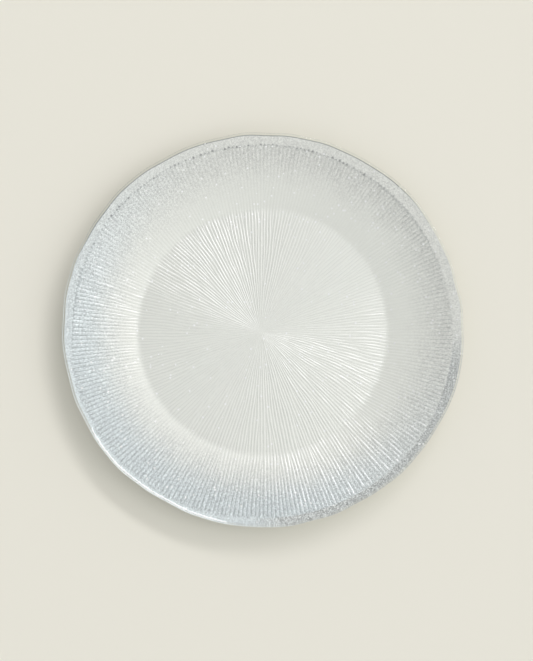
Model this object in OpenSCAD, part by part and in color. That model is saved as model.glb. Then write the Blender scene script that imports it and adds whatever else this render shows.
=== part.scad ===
// Round glass charger plate with a ribbed underside and a pearl to silver lacquered back.
// It lies flat on its base: +Z is up, and the origin is under the middle of the base.

/* [Plate] */
// Mean diameter over the rim
plate_d = 330; // [300:1:360]
// Height from the table to the crown of the lip
plate_h = 21.2; // [16:0.1:30]
// Diameter of the flat well, at the middle of the bend
well_d = 207; // [180:1:220]
// Upright thickness of the glass
glass_t = 4.5; // [3.5:0.1:6]
// Radial width of the bend between well and wing
bend_w = 6; // [3:0.5:12]
// Slope of the wing at the lip, as a share of its slope at the well
lip_slope = 0.6; // [0.3:0.05:1]
// Width of the plain lip outside the rib ends
lip_w = 7.5; // [6:0.5:14]
// Radius of the fire-polished rim
edge_r = 0.8; // [0.5:0.1:1.7]

/* [Rim wave] */
// How far one wave of the hand-finished rim strays from the circle
wave_h = 0.25; // [0:0.05:0.6]
// Waves around the rim, laid over each other
wave_counts = [4, 5, 6, 8, 12];
// Turn of each wave in degrees
wave_turns = [216, 157, 202, 134, 295];

/* [Ribs] */
// Ribs around the hub: each one splits in two twice on its way out
hub_ribs = 72; // [40:1:80]
// Height of a rib
rib_h = 0.6; // [0.3:0.05:1]
// Radius of the plain spot in the middle
hub_r = 8; // [4:0.5:15]
// Radius at which the hub ribs have their full height
full_r = 34; // [20:1:45]
// Radius at which every rib has split once
split_r = 68; // [50:1:80]
// Radial length of the slanted end of a rib
rib_end_l = 0.7; // [0.3:0.1:2]

/* [Coats] */
// Thickness of the lacquer under the glass
coat_t = 0.4; // [0.2:0.05:0.8]
// Width of the silver band, from the rim inwards
silver_w = 37; // [20:1:50]
// Thickness of the clear seal under the base
seal_t = 0.3; // [0.2:0.05:0.6]
// Distance from the start of the bend to the edge of the seal
seal_inset = 1; // [0.5:0.5:10]

/* [Hidden] */

plate_r = plate_d / 2;
bend_in_r = well_d / 2 - bend_w / 2;
bend_out_r = well_d / 2 + bend_w / 2;
lip_in_r = plate_r - lip_w;
rib_end_r = lip_in_r - rib_end_l;
fade_r = plate_r - silver_w;
edge_in_r = plate_r - edge_r;
well_top_z = seal_t + coat_t + glass_t;

// Columns of points around the plate: one for each rim facet, one for each outer rib,
// and two, a valley and a crest, for each rib
rim_columns = 2 * hub_ribs;
outer_ribs = 4 * hub_ribs;
rib_columns = 2 * outer_ribs;

// The wing starts at this slope, which brings the lip's crown to the plate's height
wing_l = edge_in_r - bend_out_r;
wing_slope = (plate_h - well_top_z) / (bend_w / 2 + wing_l * (1 + lip_slope) / 2);

// Rise of the plate's surface over the well at radius r
function bend_rise(r) = wing_slope * pow(r - bend_in_r, 2) / (2 * bend_w);
function wing_rise(r) =
    let (x = r - bend_out_r)
    wing_slope * (bend_w / 2 + x - (1 - lip_slope) * x * x / (2 * wing_l));
function rise(r) = r < bend_in_r ? 0 : r < bend_out_r ? bend_rise(r) : wing_rise(r);

// Surfaces of the layers at radius r
function top_z(r) = well_top_z + rise(r);
function under_z(r) = top_z(r) - glass_t;
function coat_z(r) = under_z(r) - coat_t;

// Outward shift of the wavy rim at an angle
function wave(angle) =
    wave_h * [for (k = [0 : len(wave_counts) - 1]) sin(wave_counts[k] * angle + wave_turns[k])]
    * [for (k = wave_counts) 1];

// Ring of points that follows the wavy rim, and a plain ring
function wavy_ring(n, r, z) = [
    for (i = [0 : n - 1])
        let (angle = 360 * i / n)
        let (reach = r + wave(angle))
        [reach * cos(angle), reach * sin(angle), z]
];
function plain_ring(n, r, z) = [
    for (i = [0 : n - 1])
        let (angle = 360 * i / n)
        [r * cos(angle), r * sin(angle), z]
];

// Ring across the ribs: even points lie in the valleys, odd points on the crests
function rib_ring(n, r) = [
    for (i = [0 : n - 1])
        let (angle = 360 * i / n)
        [r * cos(angle), r * sin(angle), under_z(r) + (i % 2) * rib_h]
];

// The ribbed face between glass and lacquer, from the hub out to the silver band and on to the lip
inner_rib_rings = [
    plain_ring(rim_columns, hub_r, under_z(hub_r)),
    rib_ring(rim_columns, full_r),
    rib_ring(outer_ribs, split_r),
    rib_ring(rib_columns, bend_in_r),
    rib_ring(rib_columns, bend_out_r),
    rib_ring(rib_columns, fade_r)
];
outer_rib_rings = [
    rib_ring(rib_columns, rib_end_r),
    plain_ring(outer_ribs, lip_in_r, under_z(lip_in_r)),
    wavy_ring(rim_columns, edge_in_r, under_z(edge_in_r))
];

// The smooth top of the glass, from the well out to the rim
top_rings = concat(
    [for (r = [bend_in_r, bend_out_r, fade_r, lip_in_r]) plain_ring(rim_columns, r, top_z(r))],
    [wavy_ring(rim_columns, edge_in_r, top_z(edge_in_r))]
);

// The rounded rim, from its upper to its lower shoulder
shoulder = edge_r * sin(45);
rim_rings = [
    wavy_ring(rim_columns, edge_in_r + shoulder, top_z(edge_in_r) - edge_r + shoulder),
    wavy_ring(rim_columns, plate_r, top_z(edge_in_r) - edge_r),
    wavy_ring(rim_columns, plate_r, under_z(edge_in_r) + edge_r),
    wavy_ring(rim_columns, edge_in_r + shoulder, under_z(edge_in_r) + edge_r - shoulder)
];

function reversed(list) = [for (i = [len(list) - 1 : -1 : 0]) list[i]];
function joined(rings) = [for (ring = rings) each ring];
function starts(rings, k = 0, at = 0) =
    k == len(rings) ? [] : concat([at], starts(rings, k + 1, at + len(rings[k])));

// Triangles between two rings whose point counts are equal or multiples of each other.
// A band is split the same way whether it runs outwards or inwards, so that layers meet face to face.
function band(a, na, b, nb, outwards) =
    na < nb || (na == nb && outwards)
        ? widening(a, na, b, nb / na)
        : narrowing(a, na / nb, b, nb);
function widening(a, na, b, share) = [
    for (i = [0 : na - 1])
        let (next = (i + 1) % na)
        let (half = floor(share / 2))
        each concat(
            [[a + i, a + next, b + i * share + half]],
            [for (j = [0 : 1 : share - 1]) [
                j < half ? a + i : a + next,
                b + (i * share + j + 1) % (na * share),
                b + i * share + j
            ]]
        )
];
function narrowing(a, share, b, nb) = [
    for (i = [0 : nb - 1])
        let (next = (i + 1) % nb)
        let (half = floor(share / 2))
        each concat(
            [[a + i * share + half, b + next, b + i]],
            [for (j = [0 : 1 : share - 1]) [
                a + i * share + j,
                a + (i * share + j + 1) % (nb * share),
                j < half ? b + i : b + next
            ]]
        )
];

// Triangles along a list of rings, from each ring to the next
function ring_r(ring) = norm([ring[0].x, ring[0].y]);
function band_at(rings, at, k, next) =
    let (outwards = ring_r(rings[k]) <= ring_r(rings[next]))
    band(at[k], len(rings[k]), at[next], len(rings[next]), outwards);
function bands(rings, at) = [for (k = [0 : len(rings) - 2]) each band_at(rings, at, k, k + 1)];
function closing_band(rings, at) = band_at(rings, at, len(rings) - 1, 0);
function caps(rings, at) =
    let (last = len(rings) - 1)
    [
        reversed([for (i = [0 : len(rings[0]) - 1]) i]),
        [for (i = [0 : len(rings[last]) - 1]) at[last] + i]
    ];

// Solid through rings that run from the middle of its top face, round its rim, to the middle below
module disc_through(rings) {
    at = starts(rings);
    polyhedron(points = joined(rings), faces = concat(bands(rings, at), caps(rings, at)));
}

// Solid through rings that run all the way round its section
module band_through(rings) {
    at = starts(rings);
    polyhedron(points = joined(rings), faces = concat(bands(rings, at), closing_band(rings, at)));
}

// Moulded glass dish, smooth on top and ribbed below
module glass_plate() {
    color([0.87, 0.91, 0.89, 0.5])
    disc_through(concat(top_rings, rim_rings, reversed(concat(inner_rib_rings, outer_rib_rings))));
}

// Pearl lacquer that fills the ribs under the well and the inner wing
module pearl_coat() {
    below = [for (r = [fade_r, bend_out_r, bend_in_r]) plain_ring(rim_columns, r, coat_z(r))];
    color([0.89, 0.89, 0.86])
    disc_through(concat(inner_rib_rings, below));
}

// Silver lacquer that fills the ribs under the outer wing and covers the back of the lip
module silver_coat() {
    fade_ring = inner_rib_rings[len(inner_rib_rings) - 1];
    below = [
        wavy_ring(rim_columns, edge_in_r, coat_z(edge_in_r)),
        plain_ring(rim_columns, lip_in_r, coat_z(lip_in_r)),
        plain_ring(rim_columns, fade_r, coat_z(fade_r))
    ];
    color([0.72, 0.77, 0.79])
    band_through(concat([fade_ring], outer_rib_rings, below));
}

// Clear seal film that the plate stands on
module base_seal() {
    color([0.93, 0.93, 0.9])
    cylinder(h = seal_t, r = bend_in_r - seal_inset, $fn = 180);
}

glass_plate();
pearl_coat();
silver_coat();
base_seal();
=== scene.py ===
import math
from types import SimpleNamespace

import bmesh
import bpy
import numpy as np
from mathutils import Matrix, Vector


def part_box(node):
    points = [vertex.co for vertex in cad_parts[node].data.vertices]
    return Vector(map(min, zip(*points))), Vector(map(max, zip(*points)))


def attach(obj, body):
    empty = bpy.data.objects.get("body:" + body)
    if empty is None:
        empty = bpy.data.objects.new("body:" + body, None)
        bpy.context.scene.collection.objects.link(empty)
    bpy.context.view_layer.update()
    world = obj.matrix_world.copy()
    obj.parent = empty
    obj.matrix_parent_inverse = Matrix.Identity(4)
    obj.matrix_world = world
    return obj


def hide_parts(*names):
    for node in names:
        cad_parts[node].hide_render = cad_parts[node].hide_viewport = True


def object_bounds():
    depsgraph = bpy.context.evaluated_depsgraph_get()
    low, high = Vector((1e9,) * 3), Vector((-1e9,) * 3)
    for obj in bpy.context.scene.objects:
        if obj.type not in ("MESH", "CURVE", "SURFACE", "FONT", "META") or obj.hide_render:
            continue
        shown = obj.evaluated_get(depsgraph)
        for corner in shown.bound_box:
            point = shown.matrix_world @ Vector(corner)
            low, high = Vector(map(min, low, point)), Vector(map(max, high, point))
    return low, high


# Charger plate: a ribbed glass dish with a pearl to silver lacquered back, lying flat on the floor.
# Sizes are in metres, in the frame of the solids: +Z is up and +Y is the top of the photo.
# A side of the plate is an angle from +X towards +Y, and its span is in cosines of the angle from it.
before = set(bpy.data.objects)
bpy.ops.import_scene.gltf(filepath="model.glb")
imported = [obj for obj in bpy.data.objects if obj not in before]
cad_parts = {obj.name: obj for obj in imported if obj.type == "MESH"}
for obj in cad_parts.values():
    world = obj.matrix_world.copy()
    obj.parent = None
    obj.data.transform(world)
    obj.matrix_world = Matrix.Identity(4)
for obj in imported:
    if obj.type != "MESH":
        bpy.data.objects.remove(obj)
cad_low, cad_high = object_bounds()

SEED = 11
MM = 0.001
FULL_TURN = 2 * math.pi

# Driving sizes of the plate, the same as those of its solids
PLATE_R = 165 * MM
WELL_R = 103.5 * MM
GLASS_T = 4.5 * MM
BEND_W = 6 * MM
LIP_SLOPE = 0.6
LIP_W = 7.5 * MM
EDGE_R = 0.8 * MM
COAT_T = 0.4 * MM
PLATE_H = cad_high.z
SEAL_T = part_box("base_seal")[1].z
SEAL_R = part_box("base_seal")[1].x
FADE_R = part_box("pearl_coat")[1].x

# Sizes that follow from them
BEND_IN_R = WELL_R - BEND_W / 2
BEND_OUT_R = WELL_R + BEND_W / 2
LIP_IN_R = PLATE_R - LIP_W
EDGE_IN_R = PLATE_R - EDGE_R
WELL_TOP_Z = SEAL_T + COAT_T + GLASS_T
WING_L = EDGE_IN_R - BEND_OUT_R
WING_SLOPE = (PLATE_H - WELL_TOP_Z) / (BEND_W / 2 + WING_L * (1 + LIP_SLOPE) / 2)

# Waves of the hand-finished rim: those of the solids, and finer ones laid over them
WAVE_H = 0.25 * MM
WAVE_COUNTS = (4, 5, 6, 8, 12)
WAVE_TURNS = np.radians((216, 157, 202, 134, 295))
FINE_WAVE_H = 0.12 * MM
FINE_WAVE_COUNTS = (16, 20, 24, 28, 33)
FINE_WAVE_TURNS = np.radians((63, 353, 294, 275, 226))
RIM_PLAY = 0.05 * MM

# Sag of the lip below its crown: share, count and turn of each wave, with shares that add up to half
RIM_SAG = 0.35 * MM
SAG_WAVES = ((0.3, 3, 1.0), (0.2, 7, 4.0))

# Fire-polished bead along the rim, highest at the lower left
BEAD_W = 1.6 * MM
BEAD_H = 0.49 * MM
BEAD_FOOT_L = 3 * MM
BEAD_LOW = 0.7
BEAD_AT = math.radians(-126)
BEAD_SPAN = (0.8, 0.95)

# Gentle unevenness of the glass's top: a swell and a weaker one that runs across it
TOP_WAVE_H = 0.07 * MM
SWELL_X_L = 9 * MM
SWELL_Y_L = 11 * MM
SWELL_X_TURN = 1.3
SWELL_Y_TURN = 0.4
CROSS_SHARE = 0.6
CROSS_X_L = 5.3 * MM
CROSS_Y_L = 7.1 * MM

# Ribs: groups of eight around the plate, whose hub lies a little off the middle of the rim
GROUPS = 36
RIBS_IN_GROUP = 8
HUB_R = 0.8 * MM
HUB_FULL_R = 2.2 * MM
HUB_SHIFT = (-1.5 * MM, -0.8 * MM)
RIB_GROW = 30 * MM
RIB_END_L = 1.6 * MM
RIB_END_INSET = RIB_END_L / 6
COAT_LIFT = 0.05 * MM

# Profile of a rib at a few radii: its height and the place of its crest, as shares of its width
INNER_RIBS_R = 62 * MM
PROFILE_R = (HUB_R, INNER_RIBS_R, BEND_IN_R, BEND_OUT_R)
RIB_ASPECT = (0.23, 0.205, 0.205, 0.17)
CREST_AT = (0.5, 0.44, 0.44, 0.52)

# Where the ribs of a group start: a negative start is a rib that is there from the hub on
FIXED_STARTS = {0: -60 * MM, 4: -9 * MM, 2: 8 * MM, 6: 20 * MM}
LATE_STARTS = (43 * MM, 61 * MM, 80 * MM, 97 * MM)
START_JITTER = 8 * MM

# Unevenness of single ribs
RIB_WIDTHS = (0.9, 1.1)
RIB_STRENGTHS = (0.85, 1.1)
RIB_END_JITTER = (-0.5 * MM, 0.4 * MM)
RIB_SWELL = 0.15
RIB_SWELL_L = 26 * MM
WANDER = 0.06 * MM
WANDER_FULL_R = 60 * MM
WANDER_COUNTS = (5, 13, 23, 41)
WANDER_L = (70 * MM, 48 * MM, 37 * MM, 29 * MM)

# Sides of the plate where the ribs end further out, end further in, or are lower on the inner wing
LONG_RIBS_AT = math.radians(-138)
LONG_RIBS_L = 3.2 * MM
LONG_RIBS_SPAN = (0.7, 0.94)
SHORT_RIBS_AT = math.radians(55)
SHORT_RIBS_L = 1.9 * MM
SHORT_RIBS_SPAN = (-0.1, 0.85)
CALM_AT = math.radians(97)
CALM_SPAN = (0.3, 0.95)
CALM_SHARE = 0.45
CALM_FADE_R = (125 * MM, 147 * MM)

# Painted shade on the rib ends and along the rim's thin edge towards the top, with how far the tone
# drops there
SPOTS_AT = math.radians(102)
SPOTS_SPAN = (-0.2, 0.85)
SPOT_TONES = (0.6, 1.0)
SPOT_LENGTHS = (1.9 * MM, 3.3 * MM)
SPOT_BREADTH = 1.4
DARK_DROP = 2
DARK_EDGE_AT = math.radians(98)
DARK_EDGE_SPAN = (0.2, 0.7)
DARK_EDGE_W = 1.4 * MM

# Columns of points, across one rib as shares of its width and around the smooth faces, and the steps
# round a rounded edge
COAT_COLUMNS = np.array((0, 0.1, 0.4, 0.5, 0.6, 0.9))
GLASS_COLUMNS = np.array((0, 0.25, 0.5, 0.75))
TOP_COLUMNS = 288
RIM_COLUMNS = 576
BELOW_COLUMNS = 288
RIM_STEPS = 7

# Steps between the rings of points: across the ribs, on the smooth top and on the faces below
HUB_ZONE_R = 9 * MM
HUB_STEP = 1.5 * MM
SPLIT_ZONE_R = 31 * MM
SPLIT_STEP = 2.8 * MM
WELL_STEP = 3.9 * MM
BEND_STEP = 1 * MM
WING_STEP = 2.4 * MM
OUTER_STEP = 2.6 * MM
RIB_ENDS_HALF_W = 4.4 * MM
RIB_ENDS_STEP = 0.55 * MM
LIP_STEP = 1.1 * MM
TOP_WELL_STEP = 4.5 * MM
TOP_WING_STEP = 4 * MM
TOP_LIP_STEP = 0.8 * MM
BEAD_STEP = 0.2 * MM
BELOW_WELL_STEP = 20 * MM
BELOW_WING_STEP = 5 * MM
BELOW_LIP_STEP = 1.5 * MM
SEAL_STEP = 12 * MM

# Cleaning of the meshes
MERGE = 0.02 * MM
SLIVER = MERGE / 4
SHARP_ANGLE = math.radians(70)


def smooth_step(low, high, value):
    """0 below low, 1 above high, with a smooth climb between them."""
    share = np.clip((value - low) / (high - low), 0, 1)
    return share * share * (3 - 2 * share)


def near_side(angle, side, span):
    """1 near a side of the plate and 0 away from it."""
    return smooth_step(*span, np.cos(angle - side))


def rise(r):
    """Rise of the plate's surface over the well at radius r."""
    if r < BEND_IN_R:
        return 0.0
    if r < BEND_OUT_R:
        return WING_SLOPE * (r - BEND_IN_R) ** 2 / (2 * BEND_W)
    x = r - BEND_OUT_R
    return WING_SLOPE * (BEND_W / 2 + x - (1 - LIP_SLOPE) * x * x / (2 * WING_L))


def top_z(r):
    """Height of the plain top of the glass at radius r."""
    return WELL_TOP_Z + rise(r)


def under_z(r):
    """Height of the valleys under the glass at radius r."""
    return top_z(r) - GLASS_T


def coat_z(r):
    """Height of the back of the lacquer at radius r."""
    return under_z(r) - COAT_T


def waves(angle, counts, turns):
    """Sum of the waves with the given counts around the plate."""
    return sum(np.sin(count * angle + turn) for count, turn in zip(counts, turns))


def free_wave(angle):
    """Stray of the rim from its circle at an angle."""
    main = WAVE_H * waves(angle, WAVE_COUNTS, WAVE_TURNS)
    return main + FINE_WAVE_H * waves(angle, FINE_WAVE_COUNTS, FINE_WAVE_TURNS)


def rim_wave(angle):
    """Outward shift of the rim at an angle, drawn in so that it stays in the box of the solids."""
    return free_wave(angle) - RIM_INSET


def rim_sag(angle):
    """How far the hand-finished lip sags below its crown at an angle."""
    return RIM_SAG * sum(share * (1 - np.sin(count * angle + turn)) for share, count, turn in SAG_WAVES)


def ring(angle, r, z):
    """Points at the given angles, radius and height, each a number or an array."""
    angle = np.asarray(angle, float)
    r = np.broadcast_to(r, angle.shape)
    z = np.broadcast_to(z, angle.shape)
    return np.stack([r * np.cos(angle), r * np.sin(angle), z], axis=-1)


def middle(z, shift=(0.0, 0.0)):
    """The point that closes a disc in its middle."""
    return np.array([[*shift, z]])


def even_angles(count):
    return np.arange(count) * FULL_TURN / count


def reach_past_box():
    """How far the rim's waves would reach past the box of the solids."""
    angle = even_angles(RIM_COLUMNS)
    rim = ring(angle, PLATE_R + free_wave(angle), 0.0)
    past_high = rim.max(axis=0) - np.array(cad_high)
    past_low = np.array(cad_low) - rim.min(axis=0)
    return max(0, *past_high[:2], *past_low[:2])


RIM_INSET = reach_past_box() + RIM_PLAY


def lip_share(r):
    """0 inside the rib ends and 1 on the rim's bead, for what grows over the lip."""
    return float(smooth_step(LIP_IN_R, EDGE_IN_R - BEAD_W, r))


def smooth_ring(count, r, z):
    """Ring of a smooth face, which takes up the rim's waves over the lip."""
    angle = even_angles(count)
    share = lip_share(r)
    return ring(angle, r + share * rim_wave(angle), z - share * rim_sag(angle))


# Random unevenness of the ribs, one value for each rib of each group
random = np.random.default_rng(SEED)
rib_start = np.zeros((GROUPS, RIBS_IN_GROUP))
for rib, start in FIXED_STARTS.items():
    rib_start[:, rib] = start
for group in range(GROUPS):
    rib_start[group, 1::2] = random.permutation(LATE_STARTS)


def drawn(span):
    """A random value within the span for each rib."""
    return random.uniform(*span, rib_start.shape)


rib_start += drawn((-START_JITTER, START_JITTER))
rib_share = drawn(RIB_WIDTHS)
rib_strength = drawn(RIB_STRENGTHS)
rib_end = LIP_IN_R - RIB_END_INSET + drawn(RIB_END_JITTER)
rib_phase = drawn((0, FULL_TURN))
wander_turns = random.uniform(0, FULL_TURN, len(WANDER_COUNTS))
spot_tone = drawn(SPOT_TONES)
spot_l = drawn(SPOT_LENGTHS)

rib_angle = even_angles(GROUPS * RIBS_IN_GROUP).reshape(rib_start.shape)
rib_end += LONG_RIBS_L * near_side(rib_angle, LONG_RIBS_AT, LONG_RIBS_SPAN)
rib_end -= SHORT_RIBS_L * near_side(rib_angle, SHORT_RIBS_AT, SHORT_RIBS_SPAN)


def wander(angle, r):
    """Sideways stray of the ribs, as a length."""
    strays = zip(WANDER_COUNTS, WANDER_L, wander_turns)
    stray = sum(np.sin(count * angle + r * FULL_TURN / wave_l + turn) for count, wave_l, turn in strays)
    return WANDER * stray * smooth_step(0, WANDER_FULL_R, r)


def rib_places(r):
    """Left edge and width of each rib at radius r, as shares of its group."""
    weight = smooth_step(rib_start, rib_start + RIB_GROW, r) * rib_share
    total = weight.sum(axis=1, keepdims=True)
    left = (np.cumsum(weight, axis=1) - weight) / total
    return left, weight / total


def rib_height(r, width):
    """Full height of each rib at radius r, from its width as a share of its group."""
    swell = 1 + RIB_SWELL * np.sin(r * FULL_TURN / RIB_SWELL_L + rib_phase)
    aspect = np.interp(r, PROFILE_R, RIB_ASPECT)
    return aspect * width * r * FULL_TURN / GROUPS * rib_strength * swell


def rib_presence(r):
    """1 where a rib has its full height, less where it is calm, and 0 at the hub and past its end."""
    ended = smooth_step(rib_end - RIB_END_L / 2, rib_end + RIB_END_L / 2, r)
    calm = CALM_SHARE * near_side(rib_angle, CALM_AT, CALM_SPAN)
    calm = calm * smooth_step(BEND_IN_R, BEND_OUT_R, r) * (1 - smooth_step(*CALM_FADE_R, r))
    return smooth_step(HUB_R, HUB_FULL_R, r) * (1 - ended) * (1 - calm)


def rib_darkness(r, crest):
    """Share of painted shade: 1 in the middle of a shaded rib end and along the thin edge, 0 elsewhere.
    """
    spot = spot_tone * near_side(rib_angle, SPOTS_AT, SPOTS_SPAN)
    spot = spot * (1 - smooth_step(0, spot_l, abs(r - rib_end)))
    edge = near_side(rib_angle, DARK_EDGE_AT, DARK_EDGE_SPAN)
    edge = edge * smooth_step(EDGE_IN_R - DARK_EDGE_W, EDGE_IN_R - DARK_EDGE_W / 2, r)
    return np.maximum(spot[..., None] * np.minimum(1, SPOT_BREADTH * crest), edge[..., None])


def rib_ring(columns, r, lift=0.0):
    """Ring across the ribs at radius r, with each point's tone.

    Tone 0 is a valley, 1 a crest or plain face, below 0 a rib end or edge; low tones carry painted
    shade.
    """
    left, width = rib_places(r)
    crest_at = np.interp(r, PROFILE_R, CREST_AT)
    across = np.where(columns < 0.5, 2 * columns * crest_at, 1 - 2 * (1 - columns) * (1 - crest_at))
    turn = left[..., None] + width[..., None] * across
    angle = (np.arange(GROUPS)[:, None, None] + turn) * FULL_TURN / GROUPS
    angle = (angle + wander(angle, r) / r).ravel()
    crest = 1 - abs(2 * columns - 1)
    present = rib_presence(r)
    bump = ((rib_height(r, width) * present)[..., None] * crest).ravel()
    # Low tones mark painted shade in the valleys, at the rib ends and along the thin edge
    tone = (1 - present[..., None] * (1 - crest) - DARK_DROP * rib_darkness(r, crest)).ravel()
    share = lip_share(r)
    z = under_z(r) + lift + bump - share * rim_sag(angle)
    points = ring(angle, r + share * rim_wave(angle), z)
    points[:, :2] += np.array(HUB_SHIFT) * (1 - smooth_step(0, BEND_IN_R, r))
    return points, tone


def stations(first, *stops):
    """Radii from the first one on through the stops, each a radius with the step that leads up to it."""
    radii = [first]
    for end, step in stops:
        count = max(1, round((end - radii[-1]) / step))
        radii += list(np.linspace(radii[-1], end, count + 1)[1:])
    return radii


WELL_STATIONS = stations(
    HUB_R,
    (HUB_ZONE_R, HUB_STEP),
    (SPLIT_ZONE_R, SPLIT_STEP),
    (BEND_IN_R, WELL_STEP),
)
BEND_STATIONS = stations(BEND_IN_R, (BEND_OUT_R, BEND_STEP))
WING_STATIONS = stations(BEND_OUT_R, (FADE_R, WING_STEP))
OUTER_STATIONS = stations(
    FADE_R,
    (LIP_IN_R - RIB_ENDS_HALF_W, OUTER_STEP),
    (LIP_IN_R + RIB_ENDS_HALF_W, RIB_ENDS_STEP),
    (EDGE_IN_R - DARK_EDGE_W, LIP_STEP),
    (EDGE_IN_R, DARK_EDGE_W / 2),
)
PEARL_STATIONS = WELL_STATIONS + BEND_STATIONS[1:] + WING_STATIONS[1:]


def stitch(start_a, count_a, start_b, count_b):
    """Faces between two rings whose counts are equal or one a multiple of the other."""
    count = max(count_a, count_b)
    i = np.arange(count)
    j = (i + 1) % count
    a_i = start_a + i * count_a // count
    a_j = start_a + j * count_a // count
    b_i = start_b + i * count_b // count
    b_j = start_b + j * count_b // count
    faces = np.stack([a_i, b_i, b_j, a_j], axis=1)
    return [tuple(dict.fromkeys(face)) for face in faces.tolist()]


def clean(mesh):
    """Merges points that coincide, drops slivers and turns all faces outwards."""
    work = bmesh.new()
    work.from_mesh(mesh)
    bmesh.ops.remove_doubles(work, verts=work.verts, dist=MERGE)
    bmesh.ops.dissolve_degenerate(work, dist=SLIVER, edges=work.edges)
    bmesh.ops.recalc_face_normals(work, faces=work.faces)
    work.to_mesh(mesh)
    work.free()


def solid(name, rings, closed, tones=()):
    """Mesh piece through rings that run from the middle of its top, round its rim, to the middle below.

    A closed solid runs all the way round its section, and any other one starts and ends in a point.
    The tones belong to its first points, and the other points have tone 0.
    """
    starts = np.cumsum([0] + [len(points) for points in rings])
    vertices = np.concatenate(rings)
    faces = []
    for k in range(len(rings) - 1):
        faces += stitch(starts[k], len(rings[k]), starts[k + 1], len(rings[k + 1]))
    if closed:
        faces += stitch(starts[-2], len(rings[-1]), starts[0], len(rings[0]))
    mesh = bpy.data.meshes.new(name)
    mesh.from_pydata(vertices.tolist(), [], faces)
    values = np.zeros(len(vertices), np.float32)
    values[:len(tones)] = tones
    mesh.attributes.new("rib", "FLOAT", "POINT").data.foreach_set("value", values)
    clean(mesh)
    mesh.shade_smooth()
    mesh.set_sharp_from_angle(angle=SHARP_ANGLE)
    piece = bpy.data.objects.new(name, mesh)
    bpy.context.scene.collection.objects.link(piece)
    return piece


def dress(piece, material, node):
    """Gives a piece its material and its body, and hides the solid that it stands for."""
    piece.data.materials.append(material)
    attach(piece, "root")
    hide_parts(node)


def top_wave(angle, r):
    """Height of the uneven top of the glass against the plain face, which it stays below."""
    x = r * np.cos(angle)
    y = r * np.sin(angle)
    swell = np.sin(x / SWELL_X_L + SWELL_X_TURN) * np.sin(y / SWELL_Y_L + SWELL_Y_TURN)
    swell = swell + CROSS_SHARE * np.sin(x / CROSS_X_L - y / CROSS_Y_L)
    highest = 1 + CROSS_SHARE
    return TOP_WAVE_H * (swell - highest) / highest


def bead_dip(angle, r):
    """Depth of the shallow dip along the inside of the rim's fire-polished bead."""
    foot_r = EDGE_IN_R - BEAD_W
    climb = np.clip((r - foot_r) / BEAD_W, 0, 1)
    height = BEAD_H * (BEAD_LOW + (1 - BEAD_LOW) * near_side(angle, BEAD_AT, BEAD_SPAN))
    return height * smooth_step(foot_r - BEAD_FOOT_L, foot_r, r) * (1 - climb)


def glass_top_ring(r):
    count = TOP_COLUMNS if r < LIP_IN_R else RIM_COLUMNS
    angle = even_angles(count)
    points = smooth_ring(count, r, top_z(r) - bead_dip(angle, r))
    points[:, 2] += top_wave(angle, r) * (1 - lip_share(r))
    return points


def rim_rings():
    """Rounded rim of the glass, from its crown to its lower shoulder."""
    angle = even_angles(RIM_COLUMNS)
    crown_z = top_z(EDGE_IN_R) - EDGE_R
    foot_z = under_z(EDGE_IN_R) + EDGE_R
    rings = []
    for centre_z, first in ((crown_z, 90), (foot_z, 0)):
        for step in range(RIM_STEPS):
            turn = math.radians(first - 90 * step / (RIM_STEPS - 1))
            r = EDGE_IN_R + EDGE_R * math.cos(turn)
            z = centre_z + EDGE_R * math.sin(turn)
            rings.append(ring(angle, r + rim_wave(angle), z - rim_sag(angle)))
    return rings


def make_glass():
    """Glass dish, smooth on top and ribbed below."""
    top = stations(
        HUB_R,
        (BEND_IN_R, TOP_WELL_STEP),
        (BEND_OUT_R, BEND_STEP),
        (LIP_IN_R, TOP_WING_STEP),
        (EDGE_IN_R - BEAD_W, TOP_LIP_STEP),
        (EDGE_IN_R - BEAD_STEP, BEAD_STEP),
    )
    below = sorted({*PEARL_STATIONS[::2], *BEND_STATIONS, *OUTER_STATIONS[1:-1]})
    rings = [middle(top_z(0))]
    rings += [glass_top_ring(r) for r in top]
    rings += rim_rings()
    rings += [rib_ring(GLASS_COLUMNS, r)[0] for r in below[::-1]]
    rings.append(middle(under_z(0), HUB_SHIFT))
    return solid("glass_body", rings, closed=False)


def coat_rings(radii):
    """Rings of a lacquer's ribbed top, just inside the glass, with the tones of all their points."""
    ribbed = [rib_ring(COAT_COLUMNS, r, COAT_LIFT) for r in radii]
    return [points for points, _ in ribbed], np.concatenate([tone for _, tone in ribbed])


def make_pearl():
    """Pearl lacquer that fills the ribs under the well and the inner wing."""
    ribbed, tones = coat_rings(PEARL_STATIONS)
    below = stations(
        HUB_R,
        (BEND_IN_R, BELOW_WELL_STEP),
        (BEND_OUT_R, BEND_STEP),
        (FADE_R, BELOW_WING_STEP),
    )
    rings = [middle(under_z(0) + COAT_LIFT, HUB_SHIFT)] + ribbed
    rings += [smooth_ring(BELOW_COLUMNS, r, coat_z(r)) for r in below[::-1]]
    rings.append(middle(coat_z(0)))
    return solid("pearl_layer", rings, closed=False, tones=[1.0, *tones])


def make_silver():
    """Silver lacquer that fills the ribs under the outer wing and covers the back of the lip."""
    rings, tones = coat_rings(OUTER_STATIONS)
    below = stations(FADE_R, (LIP_IN_R, BELOW_WING_STEP), (EDGE_IN_R, BELOW_LIP_STEP))
    rings += [smooth_ring(BELOW_COLUMNS, r, coat_z(r)) for r in below[::-1]]
    return solid("silver_layer", rings, closed=True, tones=tones)


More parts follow.
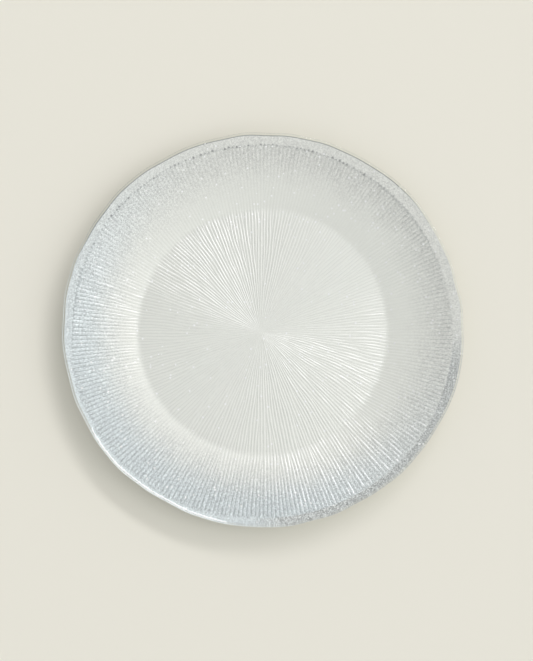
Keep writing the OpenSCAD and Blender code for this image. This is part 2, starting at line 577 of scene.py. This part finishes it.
def make_seal():
    """Seal film with a rounded edge, on which the plate stands."""
    edge_r = SEAL_T / 2
    flat_r = SEAL_R - edge_r
    radii = stations(HUB_R, (flat_r, SEAL_STEP))
    rings = [middle(SEAL_T)]
    rings += [smooth_ring(BELOW_COLUMNS, r, SEAL_T) for r in radii]
    for step in range(1, RIM_STEPS):
        turn = math.radians(90 - 180 * step / RIM_STEPS)
        r = flat_r + edge_r * math.cos(turn)
        rings.append(smooth_ring(BELOW_COLUMNS, r, edge_r + edge_r * math.sin(turn)))
    rings += [smooth_ring(BELOW_COLUMNS, r, 0.0) for r in radii[::-1]]
    rings.append(middle(0.0))
    return solid("seal_film", rings, closed=False)


# Pearl lacquer: colours, painted light across the well per metre, painted shade in valleys and wing top
PEARL = (0.852, 0.861, 0.800)
PEARL_LIGHT_LEAN = (0.62, -0.22, 0)
PEARL_VALLEY_SHADE = (0.87, 0.87, 0.87, 1)
WING_VALLEY_SHADE = (0.97, 0.97, 0.97, 1)
WING_TOP_SHADE = -0.03

# Colours of the silver lacquer: warm, cool towards the lower left, and paler on two sides
SILVER_WARM = (0.728, 0.733, 0.690, 1)
SILVER_COOL = (0.667, 0.721, 0.728, 1)
COOL_TOWARDS = (-0.64, -0.77, 0)
COOL_SPAN = (-0.7, 0.8)
SILVER_PALE = (((0.75, -0.66, 0), 0.065), ((-0.95, 0.3, 0), 0.035))
SILVER_PALE_SPAN = (0.5, 1.0)

# Painted shade in the valleys under the silver, deepest at the lower left and right, and at rib ends and
# edge
SILVER_VALLEY_SHADE = (0.95, 0.955, 0.957, 1)
DEEP_VALLEY = (0.66, 0.68, 0.685, 1)
DEEP_VALLEY_SPAN = (0.1, 0.75)
RIGHT_VALLEY_TOWARDS = (0.99, 0.1, 0)
RIGHT_VALLEY_SPAN = (0.3, 1.0)
RIGHT_VALLEY_SHARE = 0.6
VALLEY_TONES = (0.0, 0.5)
END_AND_EDGE_SHADE = (0.39, 0.395, 0.40, 1)
WHITE = (1, 1, 1, 1)

# The plain lip: grey at the lower right, paler towards the right, lit towards the lower left by painted
# light
LIP_GREY = (0.555, 0.575, 0.56, 1)
LIP_GREY_TOWARDS = (0.68, -0.73, 0)
LIP_GREY_SPAN = (0.66, 0.84)
LIP_START_R = (LIP_IN_R - 0.5 * MM, LIP_IN_R + 1 * MM)
LIP_PALE = 0.06
LIP_LEAN = 0.07
LIP_PALE_TOWARDS = (0.94, 0.34, 0)
LIP_BRIGHT = 0.11
LIP_BRIGHT_TOWARDS = (-0.71, -0.71, 0)
LIP_BRIGHT_SPAN = (0.7, 1.0)

# Spray of the silver, which starts unevenly around a middle of its own
SPRAY_MIDDLE = (8 * MM, 7 * MM, 0)
SPRAY_CLOUD = 14 * MM
SPRAY_STRAY = 16 * MM
SILVER_START_R = 104 * MM
SILVER_FULL_R = 152 * MM

# Middle of the range of a noise or a random colour
MID_TONE = 0.5

# Flakes, grain and bright specks of painted glint: sizes, and how far they change the tone of pearl and
# silver
FLAKE = 0.55 * MM
GRAIN = 0.85 * MM
SPECK = 2.2 * MM
SPECK_LEVEL = 0.964
SPECK_REACH = 0.38
SPARKLE = (0.97, 0.97, 0.96, 1)
LIP_FLAKES = -0.25
PEARL_TONE = 0.03
SILVER_TONE = 0.40
COARSE_TONE = 0.12
PEARL_GRAIN = 0.04
SILVER_GRAIN = 0.34
COARSE_GRAIN = 0.46
PEARL_TILT = 0.05
SILVER_TILT = 0.30

# Sheen of the lacquers: flakes that lie flatter than the ribs, under a clear coat whose normal leans
# outwards over the well, by COAT_CROWN per metre
FLAKE_FLATNESS = 0.8
TOP_FACING = (0.4, 0.7)
PEARL_METAL = 0.05
SILVER_METAL = 0.15
FLAKE_ROUGHNESS = 0.4
COAT_WEIGHT = 0.72
COAT_ROUGHNESS = 0.28
COAT_IOR = 2.2
COAT_CROWN = 1.2

# Glass and seal film
GLASS = (0.95, 0.98, 0.965, 1)
GLASS_ROUGHNESS = 0.03
GLASS_IOR = 1.5
RIPPLE = 6 * MM
RIPPLE_H = 1 * MM
RIPPLE_STRENGTH = 0.06
SEAL = (0.78, 0.78, 0.74)
SEAL_CLOUD = 30 * MM
SEAL_DARK = 0.95
SEAL_CLOUD_REACH = 0.10
PEEL = 2 * MM
PEEL_H = 0.2 * MM
PEEL_STRENGTH = 0.15
SEAL_ROUGHNESS = 0.20
PEEL_ROUGHNESS = 0.10


def new_material(name):
    material = bpy.data.materials.new(name)
    material.use_nodes = True
    material.node_tree.nodes.clear()
    return material, material.node_tree


def add(tree, kind, settings=None, **inputs):
    """Adds a node. An input is a value or the socket that feeds it, named with spaces as underscores."""
    node = tree.nodes.new(kind)
    for key, value in (settings or {}).items():
        setattr(node, key, value)
    for key, value in inputs.items():
        numbered = key[1:].isdigit()
        socket = node.inputs[int(key[1:]) if numbered else key.replace("_", " ")]
        if isinstance(value, bpy.types.NodeSocket):
            tree.links.new(value, socket)
        else:
            socket.default_value = value
    return node


def calc(tree, operation, *values):
    """Output of a math node."""
    inputs = {f"i{k}": value for k, value in enumerate(values)}
    return add(tree, "ShaderNodeMath", {"operation": operation}, **inputs).outputs[0]


def plus(tree, base, factor, value):
    """Output of base + factor * value."""
    return calc(tree, "MULTIPLY_ADD", value, factor, base)


def vector(tree, operation, output="Vector", **inputs):
    """Output of a vector math node."""
    return add(tree, "ShaderNodeVectorMath", {"operation": operation}, **inputs).outputs[output]


def scaled(tree, value, factor):
    return vector(tree, "SCALE", i0=value, Scale=factor)


def added(tree, first, second):
    return vector(tree, "ADD", i0=first, i1=second)


def unit(tree, direction):
    return vector(tree, "NORMALIZE", i0=direction)


def length(tree, offset):
    return vector(tree, "LENGTH", "Value", i0=offset)


def towards(tree, direction, goal):
    """Output of the cosine between two directions, one of them fixed."""
    return vector(tree, "DOT_PRODUCT", "Value", i0=direction, i1=Vector(goal).normalized())


def heading(angle):
    """Direction of a side of the plate."""
    return math.cos(angle), math.sin(angle), 0


def mix(tree, share, first, second, blend="MIX"):
    """Output of a colour mix."""
    settings = {"data_type": "RGBA", "blend_type": blend}
    return add(tree, "ShaderNodeMix", settings, i0=share, i6=first, i7=second).outputs[2]


def ramp(tree, value, low, high, to_low=0.0, to_high=1.0):
    """Output of a smooth climb from to_low at low to to_high at high."""
    settings = {"interpolation_type": "SMOOTHSTEP"}
    node = add(tree, "ShaderNodeMapRange", settings, i0=value, i1=low, i2=high, i3=to_low, i4=to_high)
    return node.outputs[0]


def noise(tree, place, size, detail):
    """Output of a noise whose bumps have the given size."""
    return add(tree, "ShaderNodeTexNoise", Vector=place, Scale=1 / size, Detail=detail).outputs[0]


def cells(tree, place, size):
    """Random colours of cells of the given size, and each point's distance from its cell's middle."""
    node = add(tree, "ShaderNodeTexVoronoi", Vector=place, Scale=1 / size)
    return node.outputs["Color"], node.outputs["Distance"]


def finish_material(tree, shader):
    add(tree, "ShaderNodeOutputMaterial", Surface=shader.outputs[0])


def silver_share(tree, place, flat):
    """0 under the pearl and 1 under the full silver, with an uneven spray between them."""
    stray = calc(tree, "SUBTRACT", noise(tree, place, SPRAY_CLOUD, detail=3), MID_TONE)
    reach = length(tree, vector(tree, "SUBTRACT", i0=flat, i1=SPRAY_MIDDLE))
    return ramp(tree, plus(tree, reach, SPRAY_STRAY, stray), SILVER_START_R, SILVER_FULL_R)


def lip_mask(tree, radius, outwards):
    """0 inside the rib ends and 1 on the plain lip, following the long and the short ribs."""
    long_side = towards(tree, outwards, heading(LONG_RIBS_AT))
    short_side = towards(tree, outwards, heading(SHORT_RIBS_AT))
    lip_at = calc(tree, "SUBTRACT", radius, ramp(tree, long_side, *LONG_RIBS_SPAN, 0.0, LONG_RIBS_L))
    lip_at = calc(tree, "ADD", lip_at, ramp(tree, short_side, *SHORT_RIBS_SPAN, 0.0, SHORT_RIBS_L))
    return ramp(tree, lip_at, *LIP_START_R)


def plate_fields(tree):
    """Sockets that tell where a point lies on the plate, as a place and as shares of its zones."""
    at = SimpleNamespace()
    at.place = add(tree, "ShaderNodeTexCoord").outputs["Object"]
    at.normal = add(tree, "ShaderNodeNewGeometry").outputs["Normal"]
    at.rib = add(tree, "ShaderNodeAttribute", {"attribute_name": "rib"}).outputs["Fac"]
    at.flat = vector(tree, "MULTIPLY", i0=at.place, i1=(1, 1, 0))
    at.radius = length(tree, at.flat)
    at.outwards = unit(tree, at.flat)
    at.on_wing = ramp(tree, at.radius, BEND_IN_R, BEND_OUT_R)
    at.silver = silver_share(tree, at.place, at.flat)
    at.lip = lip_mask(tree, at.radius, at.outwards)
    grey_side = ramp(tree, towards(tree, at.outwards, LIP_GREY_TOWARDS), *LIP_GREY_SPAN)
    at.grey = calc(tree, "MULTIPLY", at.lip, grey_side)
    cool_side = ramp(tree, towards(tree, at.outwards, COOL_TOWARDS), *COOL_SPAN)
    at.cool = calc(tree, "MULTIPLY", cool_side, ramp(tree, at.radius, BEND_OUT_R, SILVER_FULL_R))
    # Right side, where the valleys get deeper painted shade and the grain is coarser
    right_side = towards(tree, at.outwards, RIGHT_VALLEY_TOWARDS)
    at.right = ramp(tree, right_side, *RIGHT_VALLEY_SPAN, 0.0, RIGHT_VALLEY_SHARE)
    at.flaky = calc(tree, "MULTIPLY", at.silver, plus(tree, 1.0, LIP_FLAKES, at.lip))
    at.flaky = calc(tree, "ADD", at.flaky, at.grey)
    return at


def rib_colour(tree, at):
    """Pearl to silver, with painted light across the well and painted shade in valleys, at rib ends and
    edge.
    """
    # Painted light: the pearl brightens towards the right of the well
    lean = vector(tree, "DOT_PRODUCT", "Value", i0=at.flat, i1=PEARL_LIGHT_LEAN)
    pearl = scaled(tree, PEARL, calc(tree, "ADD", lean, 1.0))
    crest = mix(tree, at.silver, pearl, mix(tree, at.cool, SILVER_WARM, SILVER_COOL))
    # Painted shade in the valleys between the ribs, deepest at the lower left and on the right
    deep = ramp(tree, towards(tree, at.outwards, COOL_TOWARDS), *DEEP_VALLEY_SPAN)
    deep = calc(tree, "MAXIMUM", deep, at.right)
    pearl_valley = mix(tree, at.on_wing, PEARL_VALLEY_SHADE, WING_VALLEY_SHADE)
    silver_valley = mix(tree, deep, SILVER_VALLEY_SHADE, DEEP_VALLEY)
    valley = mix(tree, at.silver, pearl_valley, silver_valley)
    shade = mix(tree, ramp(tree, at.rib, *VALLEY_TONES), valley, WHITE)
    colour = mix(tree, 1.0, crest, shade, "MULTIPLY")
    # Painted shade at the rib ends and along the thin edge, where the tone drops below 0
    pit = ramp(tree, calc(tree, "MULTIPLY", at.rib, -1.0), 0.0, 1.0)
    return mix(tree, pit, colour, mix(tree, 1.0, colour, END_AND_EDGE_SHADE, "MULTIPLY"))


def lift_of_sides(tree, at):
    """Factor on the brightness, 1 apart from paler sides, painted light on the lip and painted shade on
    the wing.
    """
    lip_lift = plus(tree, LIP_PALE, LIP_LEAN, towards(tree, at.outwards, LIP_PALE_TOWARDS))
    lift = plus(tree, 1.0, at.lip, lip_lift)
    for side, pale in SILVER_PALE:
        pale_side = ramp(tree, towards(tree, at.outwards, side), *SILVER_PALE_SPAN, 0.0, pale)
        lift = plus(tree, lift, at.silver, pale_side)
    # Painted shade on the top of the inner wing
    dim = ramp(tree, towards(tree, at.outwards, heading(CALM_AT)), *CALM_SPAN, 0.0, WING_TOP_SHADE)
    lift = plus(tree, lift, calc(tree, "SUBTRACT", at.on_wing, at.silver), dim)
    # Painted light that brightens the lip towards the lower left
    bright_side = towards(tree, at.outwards, LIP_BRIGHT_TOWARDS)
    return plus(tree, lift, at.lip, ramp(tree, bright_side, *LIP_BRIGHT_SPAN, 0.0, LIP_BRIGHT))


def flake_factor(tree, at, flake):
    """Factor on the brightness from the tone of each flake and from a softer grain."""
    coarse = calc(tree, "MAXIMUM", at.cool, at.right)
    tone = add(tree, "ShaderNodeSeparateColor", i0=flake).outputs[0]
    tone_reach = plus(tree, PEARL_TONE, at.flaky, plus(tree, SILVER_TONE, COARSE_TONE, coarse))
    factor = plus(tree, 1.0, tone_reach, calc(tree, "SUBTRACT", tone, MID_TONE))
    grain = noise(tree, at.place, GRAIN, detail=2)
    grain_reach = plus(tree, PEARL_GRAIN, at.flaky, plus(tree, SILVER_GRAIN, COARSE_GRAIN, coarse))
    return plus(tree, factor, grain_reach, calc(tree, "SUBTRACT", grain, MID_TONE))


def speck_mask(tree, at):
    """1 on the few bright specks, which are painted glints."""
    speck, distance = cells(tree, at.place, SPECK)
    tone = add(tree, "ShaderNodeSeparateColor", i0=speck).outputs[1]
    chosen = calc(tree, "GREATER_THAN", tone, SPECK_LEVEL)
    return calc(tree, "MULTIPLY", chosen, calc(tree, "LESS_THAN", distance, SPECK_REACH))


def flake_normal(tree, at, flake):
    """Normal of the flakes, which lie flatter than the ribs and are each tilted a little."""
    bend_slope = ramp(tree, at.radius, BEND_IN_R, BEND_OUT_R, 0.0, WING_SLOPE)
    slope_change = WING_SLOPE * (LIP_SLOPE - 1)
    flattening = ramp(tree, at.radius, BEND_OUT_R, EDGE_IN_R, 0.0, slope_change)
    slope = calc(tree, "ADD", bend_slope, flattening)
    inwards = scaled(tree, at.outwards, calc(tree, "MULTIPLY", slope, -1.0))
    plain = added(tree, inwards, (0, 0, 1))
    upward = add(tree, "ShaderNodeSeparateXYZ", i0=at.normal).outputs[2]
    flatness = ramp(tree, upward, *TOP_FACING, 0.0, FLAKE_FLATNESS)
    settings = {"data_type": "VECTOR"}
    lying = add(tree, "ShaderNodeMix", settings, i0=flatness, i4=at.normal, i5=plain).outputs[1]
    tilt = vector(tree, "SUBTRACT", i0=flake, i1=(MID_TONE, MID_TONE, MID_TONE))
    tilt = scaled(tree, tilt, plus(tree, PEARL_TILT, at.flaky, SILVER_TILT))
    return unit(tree, added(tree, lying, tilt))


def coat_normal(tree, at):
    """Normal of the clear coat, which follows each rib and is slightly crowned over the well."""
    crown = ramp(tree, at.radius, BEND_IN_R, BEND_OUT_R, COAT_CROWN, 0.0)
    return unit(tree, added(tree, at.normal, scaled(tree, at.flat, crown)))


def lacquer(name):
    """Flake lacquer seen through the glass: pearl in the well, silver towards the rim."""
    material, tree = new_material(name)
    at = plate_fields(tree)
    flake, _ = cells(tree, at.place, FLAKE)
    colour = scaled(tree, rib_colour(tree, at), lift_of_sides(tree, at))
    colour = mix(tree, at.grey, colour, LIP_GREY)
    colour = scaled(tree, colour, flake_factor(tree, at, flake))
    # Painted glints: the few bright specks
    colour = mix(tree, speck_mask(tree, at), colour, SPARKLE)
    shader = add(
        tree,
        "ShaderNodeBsdfPrincipled",
        Base_Color=colour,
        Metallic=plus(tree, PEARL_METAL, SILVER_METAL, at.silver),
        Roughness=FLAKE_ROUGHNESS,
        Normal=flake_normal(tree, at, flake),
        Coat_Weight=COAT_WEIGHT,
        Coat_Roughness=COAT_ROUGHNESS,
        Coat_IOR=COAT_IOR,
        Coat_Normal=coat_normal(tree, at),
    )
    finish_material(tree, shader)
    return material


def clear_glass():
    """Glass with a faint green body and a soft ripple.

    What the camera sees through it is bent, and the light of lamps and of other faces isn't.
    """
    material, tree = new_material("clear_glass_look")
    place = add(tree, "ShaderNodeTexCoord").outputs["Object"]
    ripple = noise(tree, place, RIPPLE, detail=2)
    bump = add(tree, "ShaderNodeBump", Strength=RIPPLE_STRENGTH, Distance=RIPPLE_H, Height=ripple)
    glass = add(
        tree,
        "ShaderNodeBsdfPrincipled",
        Base_Color=GLASS,
        Roughness=GLASS_ROUGHNESS,
        IOR=GLASS_IOR,
        Transmission_Weight=1.0,
        Normal=bump.outputs[0],
    )
    clear = add(tree, "ShaderNodeBsdfTransparent")
    path = add(tree, "ShaderNodeLightPath").outputs
    bounced = calc(tree, "MAXIMUM", path["Is Diffuse Ray"], path["Is Glossy Ray"])
    through = calc(tree, "MAXIMUM", path["Is Shadow Ray"], bounced)
    shader = add(tree, "ShaderNodeMixShader", i0=through, i1=glass.outputs[0], i2=clear.outputs[0])
    finish_material(tree, shader)
    return material


def seal_lacquer():
    """Clear seal over the pearl lacquer, with the fine orange peel of a sprayed film."""
    material, tree = new_material("seal_look")
    place = add(tree, "ShaderNodeTexCoord").outputs["Object"]
    peel = noise(tree, place, PEEL, detail=2)
    bump = add(tree, "ShaderNodeBump", Strength=PEEL_STRENGTH, Distance=PEEL_H, Height=peel)
    bright = plus(tree, SEAL_DARK, SEAL_CLOUD_REACH, noise(tree, place, SEAL_CLOUD, detail=3))
    rough = plus(tree, SEAL_ROUGHNESS, PEEL_ROUGHNESS, peel)
    shader = add(
        tree,
        "ShaderNodeBsdfPrincipled",
        Base_Color=scaled(tree, SEAL, bright),
        Roughness=rough,
        Normal=bump.outputs[0],
    )
    finish_material(tree, shader)
    return material


dress(make_glass(), clear_glass(), "glass_plate")
dress(make_pearl(), lacquer("pearl_look"), "pearl_coat")
dress(make_silver(), lacquer("silver_look"), "silver_coat")
dress(make_seal(), seal_lacquer(), "base_seal")

# Floor, and the soft light all round: the floor's colour at the horizon and the dome's higher up
FLOOR = (0.783, 0.768, 0.680, 1)
FLOOR_HALF = 3.0
DOME = (0.444, 0.444, 0.449, 1)
HORIZON = (0.05, 0.45)

# Lamps: a level is the brightness of a white face turned towards the lamp
LAMP_DISTANCE = 12.0
KEY_DIRECTION = (0.478, 0.676, 0.56)
KEY_W = 10.2
KEY_H = 1.5
KEY_LEVEL = 0.342
KEY_COLOUR = (1.01, 0.975, 1.015)
FILL_SPREAD = math.radians(50)
FILLS = (
    ("right_fill", (0.77, 0.0, 0.64), 0.166),
    ("low_fill", (0.9, 0.0, 0.43), 0.298),
    ("front_fill", (0.0, -0.77, 0.64), 0.176),
    ("corner_fill", (0.55, -0.50, 0.67), 0.039),
)

# Camera of the photo: where the plate's middle lies in the image, and the scale of the image there
IMAGE_W = 533
IMAGE_H = 661
PLATE_MIDDLE = Vector((0, 0, 12 * MM))
PLATE_PX = (262.9, 328.4)
MM_PER_PX = 0.824
CAMERA_ELEVATION = math.radians(79.2)
CAMERA_DISTANCE = 2.0


def make_floor():
    mesh = bpy.data.meshes.new("floor")
    corners = [(-1, -1), (1, -1), (1, 1), (-1, 1)]
    mesh.from_pydata([(x * FLOOR_HALF, y * FLOOR_HALF, 0) for x, y in corners], [], [(0, 1, 2, 3)])
    floor = bpy.data.objects.new("floor", mesh)
    bpy.context.scene.collection.objects.link(floor)
    material, tree = new_material("floor_look")
    finish_material(tree, add(tree, "ShaderNodeBsdfDiffuse", Color=FLOOR))
    mesh.materials.append(material)


def make_world():
    """Soft studio light all round: a pale backdrop and a dome over it."""
    world = bpy.data.worlds.new("studio")
    world.use_nodes = True
    tree = world.node_tree
    tree.nodes.clear()
    outlook = add(tree, "ShaderNodeTexCoord").outputs["Generated"]
    height = add(tree, "ShaderNodeSeparateXYZ", i0=outlook).outputs[2]
    colour = mix(tree, ramp(tree, height, *HORIZON), FLOOR, DOME)
    shader = add(tree, "ShaderNodeBackground", Color=colour, Strength=1.0)
    add(tree, "ShaderNodeOutputWorld", Surface=shader.outputs[0])
    bpy.context.scene.world = world


def set_up(data, direction, distance):
    """Adds a lamp or a camera in a direction from the plate, turned towards it."""
    stand = bpy.data.objects.new(data.name, data)
    aim = Vector(direction).normalized()
    stand.location = PLATE_MIDDLE + aim * distance
    stand.rotation_mode = "QUATERNION"
    stand.rotation_quaternion = aim.to_track_quat("Z", "Y")
    bpy.context.scene.collection.objects.link(stand)
    return stand


def make_key():
    """Long softbox, the only lamp that shows in the gloss."""
    lamp = bpy.data.lights.new("key", "AREA")
    lamp.shape = "RECTANGLE"
    lamp.size = KEY_W
    lamp.size_y = KEY_H
    lamp.color = KEY_COLOUR
    lamp.energy = KEY_LEVEL * (math.pi * LAMP_DISTANCE) ** 2
    set_up(lamp, KEY_DIRECTION, LAMP_DISTANCE)


def make_fills():
    """Broad matt fills without shadows."""
    for name, direction, level in FILLS:
        lamp = bpy.data.lights.new(name, "SUN")
        lamp.angle = FILL_SPREAD
        lamp.energy = level * math.pi
        lamp.use_shadow = False
        set_up(lamp, direction, LAMP_DISTANCE).visible_glossy = False


def make_camera():
    camera = bpy.data.cameras.new("photo_camera")
    camera.lens = camera.sensor_width * CAMERA_DISTANCE / (IMAGE_H * MM_PER_PX * MM)
    camera.shift_x = (IMAGE_W / 2 - PLATE_PX[0]) / IMAGE_H
    camera.shift_y = (PLATE_PX[1] - IMAGE_H / 2) / IMAGE_H
    back = (0, -math.cos(CAMERA_ELEVATION), math.sin(CAMERA_ELEVATION))
    bpy.context.scene.camera = set_up(camera, back, CAMERA_DISTANCE)


make_floor()
make_world()
make_key()
make_fills()
make_camera()
bpy.context.scene.view_settings.view_transform = "Standard"
